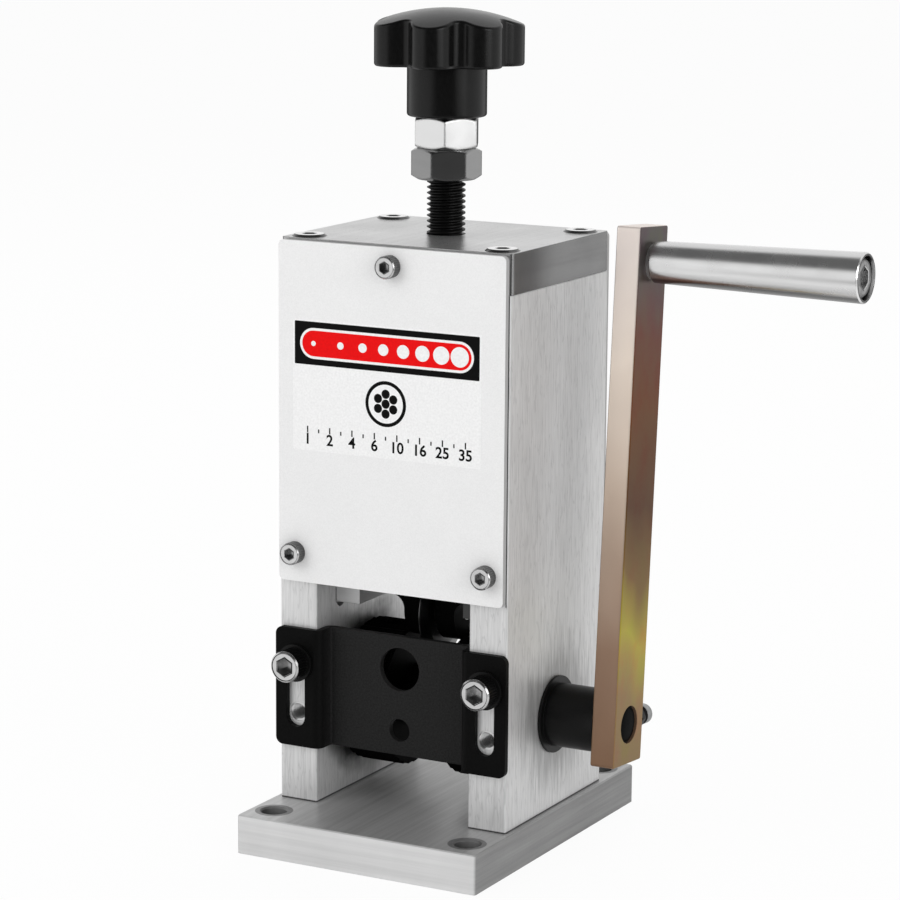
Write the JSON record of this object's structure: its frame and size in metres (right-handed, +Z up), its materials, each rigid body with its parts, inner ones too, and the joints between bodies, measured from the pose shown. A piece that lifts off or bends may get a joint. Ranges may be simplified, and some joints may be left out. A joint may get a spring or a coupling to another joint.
{
  "type": "hand crank wire stripper",
  "caption": "Bench-mounted wire stripper: a hand crank turns a toothed feed roller under a round blade on a screw-adjusted carriage, with a bent guide plate in front.",
  "frame": {"origin": "middle of the four mounting holes, on the underside of the base plate", "axes": "X towards the crank side, Y towards the rear, Z up"},
  "size_m": [0.1779, 0.1112, 0.2612],
  "materials": {
    "aluminium_body": "brushed and machined plates",
    "cover_white": "fine textured white coat",
    "guide_black": "satin black coat",
    "bright_steel": "bright plated socket screws",
    "black_steel": "blackened steel",
    "plated_steel": "plated, turned steel",
    "bronze_bush": "sintered bronze",
    "yellow_zinc": "yellow passivated zinc",
    "handle_steel": "turned and polished",
    "knob_black": "semi-gloss moulded",
    "blade_steel": "hardened and ground",
    "nut_steel": "bright plated nuts"
  },
  "bodies": {
    "body": {"base_plate": "aluminium_body", "left_side_plate": "aluminium_body", "right_side_plate": "aluminium_body", "top_plate": "aluminium_body", "front_cover": "cover_white", "rear_cover": "cover_white", "front_cover_screws": "bright_steel", "rear_cover_screws": "bright_steel", "top_plate_screws": "bright_steel", "base_screws": "bright_steel", "guide_washers": "black_steel", "guide_screws": "black_steel", "left_bush": "bronze_bush", "right_bush": "bronze_bush"},
    "crank": {"drive_shaft": "black_steel", "shaft_circlip": "black_steel", "left_feed_disc": "black_steel", "right_feed_disc": "black_steel", "feed_core": "black_steel", "feed_disc_grub_screws": "plated_steel", "crank_arm": "yellow_zinc", "arm_clamp_bolt": "bright_steel", "arm_clamp_nut": "black_steel", "handle_bolt": "bright_steel", "handle_washer": "plated_steel"},
    "handle": {"handle_sleeve": "handle_steel"},
    "carriage": {"carriage": "aluminium_body", "keeper_plate": "plated_steel", "keeper_screws": "bright_steel", "blade_fork": "black_steel", "fork_bolts": "bright_steel", "blade_pin": "plated_steel", "blade_washers": "plated_steel"},
    "blade": {"round_blade": "blade_steel"},
    "screw": {"adjusting_screw": "black_steel", "lower_nut": "nut_steel", "upper_nut": "nut_steel", "star_knob": "knob_black"},
    "guide": {"guide_plate": "guide_black"}
  },
  "joints": [
    {"name": "crank_spin", "type": "hinge", "parent": "body", "child": "crank", "pos_m": [0, 0.001, 0.0428], "axis": [1, 0, 0], "continuous": true},
    {"name": "handle_spin", "type": "hinge", "parent": "crank", "child": "handle", "pos_m": [0.1009, 0.01202, 0.18608], "axis": [1, 0, 0], "continuous": true},
    {"name": "carriage_lift", "type": "slide", "parent": "body", "child": "carriage", "axis": [0, 0, 1], "range_m": [-0.003, 0.022]},
    {"name": "blade_spin", "type": "hinge", "parent": "carriage", "child": "blade", "pos_m": [0, 0.001, 0.0723], "axis": [1, 0, 0], "continuous": true},
    {"name": "screw_turn", "type": "hinge", "parent": "carriage", "child": "screw", "pos_m": [0, 0.001, 0.2], "axis": [0, 0, 1], "range_deg": [-617.14, 4525.71]},
    {"name": "guide_slide", "type": "slide", "parent": "body", "child": "guide", "axis": [0, 0, 1], "range_m": [-0.0014, 0.0145]}
  ],
  "couplings": [
    {"joint": "screw_turn", "follows": "carriage_lift", "rad_per_m": 3590.4}
  ]
}
